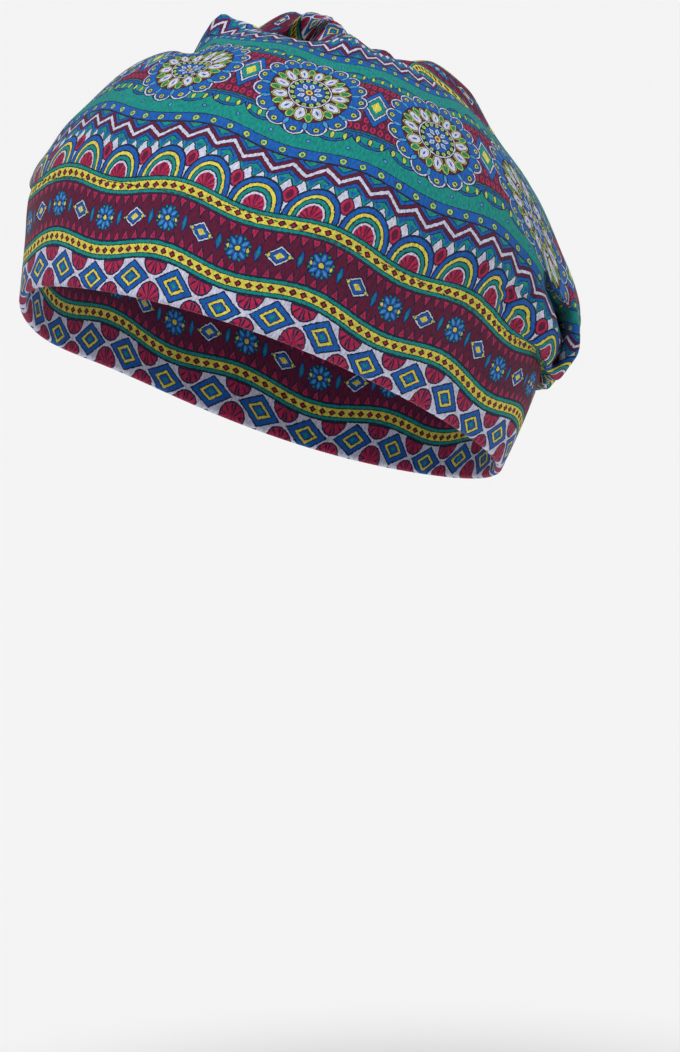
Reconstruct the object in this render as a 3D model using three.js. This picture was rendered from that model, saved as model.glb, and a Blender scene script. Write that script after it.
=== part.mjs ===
// A slouchy jersey chemo cap with a deep turned-up hem, in the shape it takes on a head.
//
// Millimetres, +Z up. The brow faces -Y and the wearer's left is +X. The origin is the middle of
// the hem opening, where the head goes in. The cap sits tilted: the hem is high on the brow and
// low on the nape, so the cloth is worked out in a frame that leans back with the hem.
import * as THREE from 'three';

const { clamp, degToRad, radToDeg, smoothstep } = THREE.MathUtils;

// Driving dimensions
const HEM_TILT = degToRad(26.5);
const HEM_DEPTH = 39;
const CLOTH_WALL = 1.2;
const FACING_WALL = 1.0;
const LAYER_GAP = 0.3;
const HEM_FOLD_ROUNDING = 0.6;
const FACING_EDGE_SETBACK = 1.5;

// How finely the cloth is divided: columns round the head, and rows up the cloth
const COLUMNS = 96;
const CROWN_ROWS = [0, 13, 26, 39, 42, 45, 49, 54, 60, 67, 74, 82, 90, 98, 106, 113, 120, 127,
  134, 141, 148, 155, 163, 172, 182, 192];
const FACING_ROWS = [0, 13, 26, 39];

// The bag of cloth, a row for each level: run is the way along the cloth from the hem fold, rise
// the height over the hem's plane, halfWidth the reach to each ear, middle the place of the widest
// point, and front and back the reach to the brow and the nape.
const SECTIONS = [
  { run: 0, rise: 0, halfWidth: 75, middle: 2, front: -103, back: 107 },
  { run: 20, rise: 20, halfWidth: 79, middle: 2, front: -106, back: 109 },
  { run: 39, rise: 39, halfWidth: 82, middle: 2, front: -107, back: 109 },
  { run: 62, rise: 62, halfWidth: 84, middle: 4, front: -103, back: 111 },
  { run: 79, rise: 77, halfWidth: 79, middle: 5, front: -95, back: 105 },
  { run: 99, rise: 94, halfWidth: 69, middle: 5, front: -82, back: 92 },
  { run: 120, rise: 107, halfWidth: 56, middle: 6, front: -64, back: 77 },
  { run: 135, rise: 115, halfWidth: 46, middle: 7, front: -51, back: 64 },
  { run: 148, rise: 121, halfWidth: 36, middle: 8, front: -39, back: 53 },
  { run: 166, rise: 126, halfWidth: 22, middle: 9, front: -21, back: 37 },
  { run: 192, rise: 128, halfWidth: 3, middle: 10, front: 7, back: 13 },
];

// How much fuller than an ellipse each level is between brow and ear and between ear and nape, as a
// share of its reach.
const FULLNESS = [
  { run: 0, front: 0.03, back: 0.05 },
  { run: 20, front: 0.035, back: 0.045 },
  { run: 35, front: 0.05, back: 0.04 },
  { run: 45, front: 0.044, back: 0.02 },
  { run: 58, front: 0.004, back: 0 },
  { run: 72, front: 0, back: 0 },
];

// The slack cloth that hangs over the stitched hem: at each level, how far the fullest of it stands
// out from the bag and how far it has dropped.
const SAG = [
  { run: 39, out: 0, drop: 0 },
  { run: 45, out: 4.5, drop: 10 },
  { run: 54, out: 8, drop: 12 },
  { run: 67, out: 8.3, drop: 8 },
  { run: 82, out: 4.5, drop: 4 },
  { run: 106, out: 0, drop: 0 },
];

// How slack the cloth hangs at each turn in degrees, from the nape by the right ear to the brow and
// back by the left ear: taut over the brow and the left temple, fullest at the nape.
const SLACK = [
  { turn: -180, share: 1 },
  { turn: -130, share: 1 },
  { turn: -100, share: 0.5 },
  { turn: -54, share: 0.5 },
  { turn: -34, share: 0 },
  { turn: 0, share: 0 },
  { turn: 102, share: 0 },
  { turn: 128, share: 1 },
  { turn: 180, share: 1 },
];

// The gathers where the full bag is drawn in to the stitched hem, round the sides and the nape
const GATHERS = { count: 24, slowCount: 16, depth: 2.4, slowShare: 0.4, riseRun: 8, fadeRun: 44 };
const LEFT_GATHERS = { starts: 85, full: 115 };
const RIGHT_GATHERS = { starts: 34, full: 62 };

// The pleats where the bag is drawn together at its closed end
const TOP_PLEATS = { count: 12, slowCount: 7, depth: 1.6, slowShare: 0.5, startRun: 140, fullRun: 178 };

// The folds of the slack crown, a row for each: a ridge or a groove along a line in plan, from one
// end to the other, with its half spread across the line and its lift.
const FOLDS = [
  { name: 'brow peak', fromX: -28, fromY: -50, toX: -24, toY: -51, spread: 5.5, lift: 9.5 },
  { name: 'back of the peak', fromX: -15, fromY: -48, toX: -12, toY: -46, spread: 5, lift: 3 },
  { name: 'step beside the peak', fromX: -29, fromY: -57, toX: -46, toY: -38, spread: 6, lift: -12 },
  { name: 'fold below the step', fromX: -27, fromY: -60, toX: 0, toY: -82, spread: 6, lift: -3 },
  { name: 'hollow behind the peak', fromX: -10, fromY: -32, toX: 7, toY: -33, spread: 10, lift: -14 },
  { name: 'roll behind the hollow', fromX: -24, fromY: -13, toX: -10, toY: -14, spread: 10, lift: 9 },
  { name: 'ridge beside the hollow', fromX: 9, fromY: -22, toX: 28, toY: -38, spread: 6.5, lift: 4 },
  { name: 'shoulder behind the roll', fromX: 3, fromY: -4, toX: 14, toY: 10, spread: 8, lift: -2 },
  { name: 'left crease, upper', fromX: 20, fromY: -14, toX: 33, toY: 10, spread: 8, lift: -5 },
  { name: 'left crease, lower', fromX: 33, fromY: 10, toX: 46, toY: 44, spread: 8, lift: -4 },
  { name: 'left lobe', fromX: 20, fromY: 20, toX: 27, toY: 33, spread: 9.5, lift: 4 },
];

// The tucks where the slack cloth folds over itself beside the nape, a row for each: a groove or a lip
// along a line on the cloth, from one turn in degrees and run to another.
const TUCKS = [
  { name: 'left tuck, start', fromTurn: 116, fromRun: 63, toTurn: 125, toRun: 60, spread: 4.5, out: -6 },
  { name: 'left tuck, middle', fromTurn: 125, fromRun: 60, toTurn: 135, toRun: 56, spread: 4.5, out: -9 },
  { name: 'left tuck, end', fromTurn: 135, fromRun: 56, toTurn: 142, toRun: 51, spread: 4, out: -5 },
  { name: 'lip of the left tuck', fromTurn: 130, fromRun: 72, toTurn: 146, toRun: 62, spread: 7, out: 3 },
  { name: 'right tuck', fromTurn: -116, fromRun: 60, toTurn: -132, toRun: 52, spread: 5, out: -5 },
  { name: 'lip of the right tuck', fromTurn: -115, fromRun: 71, toTurn: -131, toRun: 64, spread: 6, out: 2 },
];

// The hem is pulled down a little over the right temple: most at one turn in degrees, less to each
// side of it, and not at all above a run.
const TEMPLE_DIP = { turn: -66, spread: 24, drop: 5, fadeRun: 60 };

// Turns are set out in millimetres round a middling level of the cloth
const ROUND_RADIUS = 90;
const MM_PER_DEGREE = ROUND_RADIUS * degToRad(1);

const CLOTH_COLOUR = new THREE.Color(0x4a5fa8);
const FACING_COLOUR = new THREE.Color(0x8a2f57);

// A smooth curve through a table's rows: returns every other column at a value of the key column
function tableCurve(rows, key) {
  const columns = Object.keys(rows[0]).filter((name) => name !== key);
  const places = rows.map((row) => row[key]);
  const values = rows.flatMap((row) => columns.map((name) => row[name]));
  const spline = new THREE.CubicInterpolant(places, values, columns.length);
  return (place) => {
    const found = spline.evaluate(place);
    return Object.fromEntries(columns.map((name, i) => [name, found[i]]));
  };
}

const sectionAt = tableCurve(SECTIONS, 'run');
const fullnessAt = tableCurve(FULLNESS, 'run');
const sagAt = tableCurve(SAG, 'run');
const slackAt = tableCurve(SLACK, 'turn');

// A turn as degrees from the brow: positive by the left ear, negative by the right
function degreesFromBrow(turn) {
  return radToDeg(Math.atan2(Math.sin(turn), Math.cos(turn)));
}

// Two sets of even waves round the head, a quick one and a slow one, so that no two gathers match
function wave({ count, slowCount, depth, slowShare }, turn) {
  const quick = (1 - slowShare) * Math.cos(count * turn);
  const slow = slowShare * Math.cos(slowCount * turn);
  return depth * (quick + slow);
}

// How far the gathers above the hem stand out
function gatherOut(run, turn) {
  const degrees = degreesFromBrow(turn);
  const side = degrees > 0 ? LEFT_GATHERS : RIGHT_GATHERS;
  const gathered = smoothstep(Math.abs(degrees), side.starts, side.full);
  const above = run - HEM_DEPTH;
  const strength = smoothstep(above, 0, GATHERS.riseRun) * (1 - smoothstep(above, 0, GATHERS.fadeRun));
  return gathered * strength * wave(GATHERS, turn);
}

// One on a line between two points of a flat map, falling to nought beside it
function ridge(place, start, end, spread) {
  const nearest = new THREE.Line3(start, end).closestPointToPoint(place, true, new THREE.Vector3());
  const across = place.distanceTo(nearest) / spread;
  return Math.exp(-across * across);
}

// Lift of the slack folds at a place in plan
function foldLift(x, y) {
  const place = new THREE.Vector3(x, y, 0);
  return FOLDS.reduce((lift, fold) => {
    const start = new THREE.Vector3(fold.fromX, fold.fromY, 0);
    const end = new THREE.Vector3(fold.toX, fold.toY, 0);
    return lift + fold.lift * ridge(place, start, end, fold.spread);
  }, 0);
}

// How far the tucks beside the nape stand out, on a map of the cloth in millimetres
function tuckOut(run, turn) {
  const place = new THREE.Vector3(degreesFromBrow(turn) * MM_PER_DEGREE, run, 0);
  return TUCKS.reduce((out, tuck) => {
    const start = new THREE.Vector3(tuck.fromTurn * MM_PER_DEGREE, tuck.fromRun, 0);
    const end = new THREE.Vector3(tuck.toTurn * MM_PER_DEGREE, tuck.toRun, 0);
    return out + tuck.out * ridge(place, start, end, tuck.spread);
  }, 0);
}

// How far the hem is pulled down over the right temple
function templeDrop(run, turn) {
  const away = (degreesFromBrow(turn) - TEMPLE_DIP.turn) / TEMPLE_DIP.spread;
  return TEMPLE_DIP.drop * Math.exp(-away * away) * (1 - smoothstep(run, 0, TEMPLE_DIP.fadeRun));
}

// A point on the outside of the cloth, in the leaning frame: run is the way up from the hem fold,
// and turn goes from the brow by the wearer's left ear to the nape and on.
function clothPoint(run, turn) {
  const section = sectionAt(run);
  const outX = Math.sin(turn);
  const outY = -Math.cos(turn);
  const reach = outY < 0 ? section.middle - section.front : section.back - section.middle;
  const fullness = fullnessAt(clamp(run, FULLNESS[0].run, FULLNESS.at(-1).run));
  const fuller = 1 + (outY < 0 ? fullness.front : fullness.back) * Math.sin(2 * turn) ** 2;
  const x = section.halfWidth * outX * fuller;
  const y = section.middle + reach * outY * fuller;
  const point = new THREE.Vector3(x, y, section.rise);

  const sag = sagAt(clamp(run, SAG[0].run, SAG.at(-1).run));
  const slack = clamp(slackAt(degreesFromBrow(turn)).share, 0, 1);
  const out = sag.out * slack + gatherOut(run, turn) + tuckOut(run, turn);
  point.x += out * outX;
  point.y += out * outY;
  point.z -= sag.drop * slack + templeDrop(run, turn);

  const pleated = smoothstep(run, TOP_PLEATS.startRun, TOP_PLEATS.fullRun);
  const closing = smoothstep(run, TOP_PLEATS.fullRun, CROWN_ROWS.at(-1));
  point.z += foldLift(point.x, point.y) + pleated * (1 - closing) * wave(TOP_PLEATS, turn);
  return point;
}

// The cloth's outward direction at a point, from its slopes along and round the cloth
function clothNormal(run, turn) {
  const alongStep = 0.5;
  const roundStep = degToRad(0.5);
  const lower = Math.max(run - alongStep, 0);
  const upper = Math.min(run + alongStep, CROWN_ROWS.at(-1));
  const along = clothPoint(upper, turn).sub(clothPoint(lower, turn));
  const round = clothPoint(run, turn + roundStep).sub(clothPoint(run, turn - roundStep));
  return round.cross(along).normalize();
}

// A ring of points at one level, set in from the outside of the cloth
function clothRing(run, depth) {
  const ring = [];
  for (let column = 0; column < COLUMNS; column += 1) {
    const turn = (column / COLUMNS) * 2 * Math.PI;
    ring.push(clothPoint(run, turn).addScaledVector(clothNormal(run, turn), -depth));
  }
  return ring;
}

// A closed surface through rings of points: each ring joins the next, and the last joins the first
// or, where the surface has poles, the two ends close on a point
function skin(rings, poles = []) {
  const positions = rings.flat().flatMap((point) => point.toArray());
  const indices = [];
  const bands = poles.length ? rings.length - 1 : rings.length;
  for (let band = 0; band < bands; band += 1) {
    const low = band * COLUMNS;
    const high = ((band + 1) % rings.length) * COLUMNS;
    for (let column = 0; column < COLUMNS; column += 1) {
      const next = (column + 1) % COLUMNS;
      indices.push(low + column, low + next, high + next);
      indices.push(low + column, high + next, high + column);
    }
  }
  poles.forEach((pole, end) => {
    const ring = end === 0 ? 0 : (rings.length - 1) * COLUMNS;
    const tip = positions.length / 3;
    positions.push(...pole.toArray());
    for (let column = 0; column < COLUMNS; column += 1) {
      const next = (column + 1) % COLUMNS;
      const edge = end === 0 ? [ring + next, ring + column] : [ring + column, ring + next];
      indices.push(...edge, tip);
    }
  });
  const geometry = new THREE.BufferGeometry();
  geometry.setAttribute('position', new THREE.Float32BufferAttribute(positions, 3));
  geometry.setIndex(indices);
  geometry.computeVertexNormals();
  return geometry;
}

function ringMiddle(ring) {
  return ring.reduce((sum, point) => sum.add(point), new THREE.Vector3()).divideScalar(ring.length);
}

// The crown: the whole outer cloth, from the hem fold to its gathered end
function crown() {
  const outside = CROWN_ROWS.map((run) => clothRing(run, 0));
  const inside = CROWN_ROWS.map((run) => clothRing(run, CLOTH_WALL));
  const fold = clothRing(0, CLOTH_WALL / 2);
  fold.forEach((point) => { point.z -= HEM_FOLD_ROUNDING; });
  const rings = [...inside.toReversed(), fold, ...outside];
  const poles = [ringMiddle(inside.at(-1)), ringMiddle(outside.at(-1))];
  const cloth = new THREE.MeshStandardMaterial({ color: CLOTH_COLOUR, roughness: 0.85, metalness: 0 });
  const mesh = new THREE.Mesh(skin(rings, poles), cloth);
  mesh.name = 'crown';
  return mesh;
}

// The turned-up hem: the cloth folded back inside, as deep as the stitch line is high
function hemFacing() {
  const outerDepth = CLOTH_WALL + LAYER_GAP;
  const innerDepth = outerDepth + FACING_WALL;
  const topRun = HEM_DEPTH - FACING_EDGE_SETBACK;
  const rows = FACING_ROWS.map((run) => clamp(run, FACING_EDGE_SETBACK, topRun));
  const outside = rows.map((run) => clothRing(run, outerDepth));
  const inside = rows.map((run) => clothRing(run, innerDepth));
  const cloth = new THREE.MeshStandardMaterial({ color: FACING_COLOUR, roughness: 0.85, metalness: 0 });
  const mesh = new THREE.Mesh(skin([...inside.toReversed(), ...outside]), cloth);
  mesh.name = 'hem_facing';
  return mesh;
}

const cap = new THREE.Group();
cap.rotation.x = -HEM_TILT;
cap.add(crown(), hemFacing());

export default cap;
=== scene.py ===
# %% [markdown]
# # A jersey chemo cap
#
# The cap is a tube of printed stretch jersey. Its lower edge is turned up inside and held by one row
# of stitches, and the tube above it is longer and fuller than it need be. So the cloth is gathered
# where it meets the hem, folds on the crown and hangs full over the nape.
#
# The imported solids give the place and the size. This script dresses them: it cuts the cloth finely,
# adds the small gathers and the stitches, and charts a print for the cloth out of shader nodes.

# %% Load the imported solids
import math

import bmesh
import bpy
import numpy as np
from mathutils import Color, Matrix, Vector


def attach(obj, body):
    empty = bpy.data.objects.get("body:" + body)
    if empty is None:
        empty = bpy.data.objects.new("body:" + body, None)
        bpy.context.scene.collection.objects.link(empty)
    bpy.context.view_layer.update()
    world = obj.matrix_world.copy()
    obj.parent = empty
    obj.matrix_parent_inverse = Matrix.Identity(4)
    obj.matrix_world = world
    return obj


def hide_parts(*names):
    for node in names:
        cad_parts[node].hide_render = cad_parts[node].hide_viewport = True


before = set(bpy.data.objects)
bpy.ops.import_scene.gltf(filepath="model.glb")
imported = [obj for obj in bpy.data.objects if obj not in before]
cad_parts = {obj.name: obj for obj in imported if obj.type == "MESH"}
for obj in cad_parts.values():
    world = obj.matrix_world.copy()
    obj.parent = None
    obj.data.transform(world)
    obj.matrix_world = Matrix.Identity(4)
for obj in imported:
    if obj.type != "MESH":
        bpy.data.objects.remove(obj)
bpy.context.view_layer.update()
MM = 0.001

# %% [markdown]
# ## The camera
#
# The cap is seen from the wearer's front left, a little from above, in the upper part of a tall
# picture. A long lens far away keeps the shape as calm as it is in the photograph. The camera looks
# at the middle of the picture, and the place of the hem's middle in the picture says where that is,
# so no lens shift is needed.

# %% Camera
PICTURE_WIDTH, PICTURE_HEIGHT = 680, 1052
HEM_MIDDLE_PIXEL = (257, 378)
PIXEL_SIZE = 0.36 * MM
VIEW_AZIMUTH, VIEW_ELEVATION = 40, 10
CAMERA_DISTANCE = 8
SENSOR_LENGTH = 36


def way_to(azimuth, elevation):
    """The way from the cap to a place round it: azimuth 0 is before the brow, 90 at the left ear."""
    turn, height = math.radians(azimuth), math.radians(elevation)
    return Vector((math.sin(turn) * math.cos(height), -math.cos(turn) * math.cos(height), math.sin(height)))


def add_object(name, data):
    """A new object in the scene."""
    new_object = bpy.data.objects.new(name, data)
    bpy.context.scene.collection.objects.link(new_object)
    return new_object


def look_along(looker, way):
    """Turns a camera or a light along a way."""
    looker.rotation_mode = "QUATERNION"
    looker.rotation_quaternion = way.to_track_quat("-Z", "Y")


def make_camera():
    """A camera at the photograph's angle, with the hem's middle at its place in the picture."""
    viewer = way_to(VIEW_AZIMUTH, VIEW_ELEVATION)
    right = way_to(VIEW_AZIMUTH + 90, 0)
    up = viewer.cross(right)
    aim = right * (PICTURE_WIDTH / 2 - HEM_MIDDLE_PIXEL[0]) * PIXEL_SIZE
    aim -= up * (PICTURE_HEIGHT / 2 - HEM_MIDDLE_PIXEL[1]) * PIXEL_SIZE

    data = bpy.data.cameras.new("camera")
    data.sensor_width = SENSOR_LENGTH
    data.lens = CAMERA_DISTANCE / (PICTURE_HEIGHT * PIXEL_SIZE) * SENSOR_LENGTH
    camera = add_object("camera", data)
    camera.location = viewer * CAMERA_DISTANCE
    look_along(camera, aim - camera.location)
    bpy.context.scene.camera = camera
    return camera


camera = make_camera()
print("lens", round(camera.data.lens), "mm")

# %% [markdown]
# ## The form of the cloth
#
# A worn cap is a bag that leans back with its hem. The bag could be sculpted by hand, but tables are
# easier to set against the solids: one row for each level of the bag, and one for each fold. These are
# the numbers that the solids were made from, in millimetres, in a frame that leans back with the hem.
# A run is the way up the cloth from the hem fold, and a turn is the angle round the cap from the brow,
# by the wearer's left ear.

# %% Levels of the bag
HEM_TILT = math.radians(26.5)
HEM_DEPTH = 39
CLOTH_LENGTH = 192

SECTIONS = [
    dict(run=0, rise=0, half_width=75, middle=2, front=-103, back=107),
    dict(run=20, rise=20, half_width=79, middle=2, front=-106, back=109),
    dict(run=39, rise=39, half_width=82, middle=2, front=-107, back=109),
    dict(run=62, rise=62, half_width=84, middle=4, front=-103, back=111),
    dict(run=79, rise=77, half_width=79, middle=5, front=-95, back=105),
    dict(run=99, rise=94, half_width=69, middle=5, front=-82, back=92),
    dict(run=120, rise=107, half_width=56, middle=6, front=-64, back=77),
    dict(run=135, rise=115, half_width=46, middle=7, front=-51, back=64),
    dict(run=148, rise=121, half_width=36, middle=8, front=-39, back=53),
    dict(run=166, rise=126, half_width=22, middle=9, front=-21, back=37),
    dict(run=192, rise=128, half_width=3, middle=10, front=7, back=13),
]
SAG = [
    dict(run=39, out=0, drop=0),
    dict(run=45, out=4.5, drop=10),
    dict(run=54, out=8, drop=12),
    dict(run=67, out=8.3, drop=8),
    dict(run=82, out=4.5, drop=4),
    dict(run=106, out=0, drop=0),
]
FULLNESS = [
    dict(run=0, front=0.03, back=0.05),
    dict(run=20, front=0.035, back=0.045),
    dict(run=35, front=0.05, back=0.04),
    dict(run=45, front=0.044, back=0.02),
    dict(run=58, front=0.004, back=0),
    dict(run=72, front=0, back=0),
]
SLACK = [
    dict(turn=-180, share=1),
    dict(turn=-130, share=1),
    dict(turn=-100, share=0.5),
    dict(turn=-54, share=0.5),
    dict(turn=-34, share=0),
    dict(turn=0, share=0),
    dict(turn=102, share=0),
    dict(turn=128, share=1),
    dict(turn=180, share=1),
]
print("levels of the bag:", len(SECTIONS), "and of its sag:", len(SAG))

# %% [markdown]
# ## Curves through the tables
#
# The tables give the bag at a few levels, and cloth bends smoothly between them. Straight lines would
# show as edges, and a curve object would have to be read back point by point. So each column becomes
# a function: a smooth curve of cubic pieces, with slopes that come from the rows beside.

# %% Curves through the tables
def table_curve(rows, key, column):
    """A smooth curve through one column of a table, as a function of the key column."""
    places = np.array([row[key] for row in rows], float)
    values = np.array([row[column] for row in rows], float)
    slopes = np.gradient(values, places)

    def at(place):
        place = np.clip(place, places[0], places[-1])
        low = np.clip(np.searchsorted(places, place, side="right") - 1, 0, len(places) - 2)
        width = places[low + 1] - places[low]
        t = (place - places[low]) / width
        start = values[low] * (1 + 2 * t) * (1 - t) ** 2 + slopes[low] * width * t * (1 - t) ** 2
        end = values[low + 1] * t**2 * (3 - 2 * t) + slopes[low + 1] * width * t**2 * (t - 1)
        return start + end

    return at


section_at = {name: table_curve(SECTIONS, "run", name) for name in SECTIONS[0] if name != "run"}
sag_at = {name: table_curve(SAG, "run", name) for name in ("out", "drop")}
fullness_at = {name: table_curve(FULLNESS, "run", name) for name in ("front", "back")}
slack_at = table_curve(SLACK, "turn", "share")
print("rise halfway up the cloth:", round(float(section_at["rise"](CLOTH_LENGTH / 2)), 1), "mm")

# %% [markdown]
# ## Folds of the crown
#
# The slack crown has fallen into folds: a peak above the brow, a hollow behind it and a roll behind
# that. Each is a ridge or a groove along a short line in plan. They could be sculpted, but a row of a
# table can be set against the photograph again and again. The solids have the folds, and the pleats
# are too fine for them. Lifted cloth can't overhang, so two rows also push it, back and to the right
# or the other way.

# %% Folds of the crown
FOLDS = [
    dict(name="brow peak", start=(-28, -50), end=(-24, -51), spread=5.5, lift=9.5),
    dict(name="back of the peak", start=(-15, -48), end=(-12, -46), spread=5, lift=3),
    dict(name="step beside the peak", start=(-29, -57), end=(-46, -38), spread=6, lift=-12),
    dict(name="fold below the step", start=(-27, -60), end=(0, -82), spread=6, lift=-3),
    dict(name="hollow behind the peak", start=(-10, -32), end=(7, -33), spread=10, lift=-14),
    dict(name="roll behind the hollow", start=(-24, -13), end=(-10, -14), spread=10, lift=9),
    dict(name="ridge beside the hollow", start=(9, -22), end=(28, -38), spread=6.5, lift=4),
    dict(name="shoulder behind the roll", start=(3, -4), end=(14, 10), spread=8, lift=-2),
    dict(name="left crease, upper", start=(20, -14), end=(33, 10), spread=8, lift=-5),
    dict(name="left crease, lower", start=(33, 10), end=(46, 44), spread=8, lift=-4),
    dict(name="left lobe", start=(20, 20), end=(27, 33), spread=9.5, lift=4),
]
PLEATS = [
    dict(name="foot of the step", start=(-21, -61), end=(-16, -67), spread=3.2, lift=-3.5),
    dict(name="foot of the peak", start=(-34, -48), end=(-31, -53), spread=3.4, lift=-6),
    dict(name="corner of the peak", start=(-28, -50), end=(-26, -53), spread=3, lift=1.6),
    dict(name="crest of the peak", start=(-18.5, -50.5), end=(-15, -49.5), spread=3.2, lift=1),
    dict(name="right pleat of the roll", start=(-17, -24), end=(-19, -12), spread=1.8, lift=-2.5),
    dict(name="middle pleat of the roll", start=(-8.5, -26), end=(-9, -14), spread=2.4, lift=-3),
    dict(name="left pleat of the roll", start=(-1, -26), end=(1, -14), spread=2, lift=-3),
    dict(name="cave below the roll", start=(-13, -23.5), end=(-5, -22), spread=3.6, lift=-4, push=11),
    dict(name="brim of the roll", start=(-15, -17), end=(-6, -15), spread=3.6, lift=-1.5, push=-7),
]
PUSH_TURN = math.radians(40)
BACK_RIGHT = (-math.sin(PUSH_TURN), math.cos(PUSH_TURN))


def bell(distance, spread):
    """One at no distance, falling smoothly to nought."""
    return np.exp(-((distance / spread) ** 2))


def ridge(x, y, start, end, spread):
    """One on a line between two points, falling to nought beside it."""
    start, end = np.array(start, float), np.array(end, float)
    way = end - start
    along = ((x - start[0]) * way[0] + (y - start[1]) * way[1]) / way.dot(way)
    along = np.clip(along, 0, 1)
    return bell(np.hypot(x - start[0] - along * way[0], y - start[1] - along * way[1]), spread)


def fold_move(column, x, y):
    """How far the folds and pleats move the crown at a place in plan, by one column of their tables."""
    folds = [fold for fold in FOLDS + PLEATS if column in fold]
    return sum(fold[column] * ridge(x, y, fold["start"], fold["end"], fold["spread"]) for fold in folds)


print("lift at the peak:", round(float(fold_move("lift", *FOLDS[0]["start"])), 1), "mm")

# %% [markdown]
# ## Tucks at the nape
#
# Above the hem at the nape the slouch is tucked in. On the left it makes a pocket, with a roof of
# cloth over it. Tucks and creases lie along lines of turn and run, and move the cloth out or in. Some
# creases also slide it along the turn or drop it, so that it folds over. The solids have the tucks,
# but at the left the finer creases take the place of the solids' plainer tuck.

# %% Tucks at the nape
TUCKS = [
    dict(name="left tuck, end", start=(137, 55), end=(142, 51), spread=4, out=-5),
    dict(name="lip of the left tuck", start=(140, 68), end=(146, 62), spread=7, out=3),
    dict(name="right tuck", start=(-116, 60), end=(-132, 52), spread=5, out=-5),
    dict(name="lip of the right tuck", start=(-115, 71), end=(-131, 64), spread=6, out=2),
]
CREASES = [
    dict(name="pocket under the roof", start=(113, 66), end=(119, 63), spread=3.8, out=-6, slide=12),
    dict(name="crease of the pocket", start=(119, 62), end=(126, 53), spread=3.2, out=-1, slide=13),
    dict(name="roll behind the crease", start=(126, 67), end=(132, 56), spread=4.5, out=1.5, slide=-12),
    dict(name="roof over the pocket", start=(113, 73), end=(121, 71), spread=4.3, out=3, slide=-3, drop=6.5),
    dict(name="swell over the roof", start=(126, 77), end=(134, 74), spread=6, out=1.8),
    dict(name="upper pucker", start=(98, 50), end=(108, 55), spread=1.6, out=-1.4),
    dict(name="middle pucker", start=(101, 46), end=(110, 49), spread=1.6, out=-1.4),
    dict(name="lower pucker", start=(106, 43), end=(113, 45), spread=1.4, out=-1),
]
ROUND_RADIUS = 90


def tuck_move(column, run, degrees):
    """How far the tucks and creases move the cloth at a run and turn, by one column of their tables."""
    mm_per_degree = math.radians(ROUND_RADIUS)
    move = 0
    for tuck in TUCKS + CREASES:
        if column in tuck:
            start, end = ((turn * mm_per_degree, height) for turn, height in (tuck["start"], tuck["end"]))
            move = move + tuck[column] * ridge(degrees * mm_per_degree, run, start, end, tuck["spread"])
    return move


print("slide at the pocket:", round(float(tuck_move("slide", run=66, degrees=113)), 1), "mm")

# %% [markdown]
# ## Gathers
#
# Where a full tube is sewn to a shorter hem, the spare cloth stands up in small gathers. They are
# deepest at the stitches and fade out within a few centimetres. They could be drawn one by one, but
# there are dozens. So they are waves round the cap, bent out of step so that no two are alike. The
# stitches also pull a shallow valley, with small puckers beside it.

# %% Gathers
GATHER_SIDES = dict(left=(85, 115), right=(34, 62))
BROAD_GATHERS = dict(count=24, slow_count=16, depth=1.9, rise=8, fade=44)
FINE_GATHERS = dict(count=58, slow_count=43, depth=1.1, rise=4, fade=24)
STITCH_RUN = HEM_DEPTH - 1
STITCH_VALLEY = dict(depth=0.5, spread=1.6)
STITCH_PUCKERS = dict(count=88, slow_count=61, depth=0.22, spread=5)
STRAYS = [
    dict(count=3, start=1, amount=0.05),
    dict(count=7, start=2, amount=0.03),
    dict(count=17, start=0, amount=0.012),
]
QUICK_SHARE, SLOW_SHARE = 0.6, 0.4


def smoothstep(value, start, full):
    """Rises smoothly from nought at start to one at full."""
    t = np.clip((value - start) / (full - start), 0, 1)
    return t * t * (3 - 2 * t)


def uneven(turn):
    """A turn that runs ahead and behind a little, so that even waves come out uneven."""
    return turn + sum(stray["amount"] * np.sin(stray["count"] * turn + stray["start"]) for stray in STRAYS)


def waves(table, turn):
    """A quick and a slow wave round the cap, added."""
    quick = QUICK_SHARE * np.cos(table["count"] * uneven(turn))
    slow = SLOW_SHARE * np.cos(table["slow_count"] * uneven(turn))
    return table["depth"] * (quick + slow)


def gathered_share(degrees):
    """Nought over the smooth brow, one where the cloth is fully gathered."""
    return smoothstep(degrees, *GATHER_SIDES["left"]) + smoothstep(-degrees, *GATHER_SIDES["right"])


def gather_out(run, turn, degrees):
    """How far gathers, valley and puckers stand out from the bag."""
    above = run - HEM_DEPTH
    out = 0
    for table in (BROAD_GATHERS, FINE_GATHERS):
        strength = smoothstep(above, 0, table["rise"]) * (1 - smoothstep(above, 0, table["fade"]))
        out = out + gathered_share(degrees) * strength * waves(table, turn)
    beside = run - STITCH_RUN
    out = out - STITCH_VALLEY["depth"] * bell(beside, STITCH_VALLEY["spread"])
    return out + waves(STITCH_PUCKERS, turn) * bell(beside, STITCH_PUCKERS["spread"])


print("gathers", BROAD_GATHERS["count"], "broad and", FINE_GATHERS["count"], "fine")

# %% [markdown]
# ## Beside the hem
#
# The hem isn't level all round, because it is pulled down a little over the right temple. Where the
# slouch hangs down beside the hem, gathers and tucks would take the cloth through the layer behind it.
# A cloth simulation would keep the layers apart with collisions. Here a limit does it, which gives the
# same cloth on every run: beside the hem, the cloth is held a few millimetres out.

# %% Beside the hem
TEMPLE_DIP = dict(turn=-66, spread=24, drop=5, fade=60)
HEM_CLEARANCE = dict(out=5, free=16, start=5, full=9, low=3, high=10, slack=0.3)


def temple_drop(run, degrees):
    """How far the hem is pulled down over the right temple."""
    near = bell(degrees - TEMPLE_DIP["turn"], TEMPLE_DIP["spread"])
    return TEMPLE_DIP["drop"] * near * (1 - smoothstep(run, 0, TEMPLE_DIP["fade"]))


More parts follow.
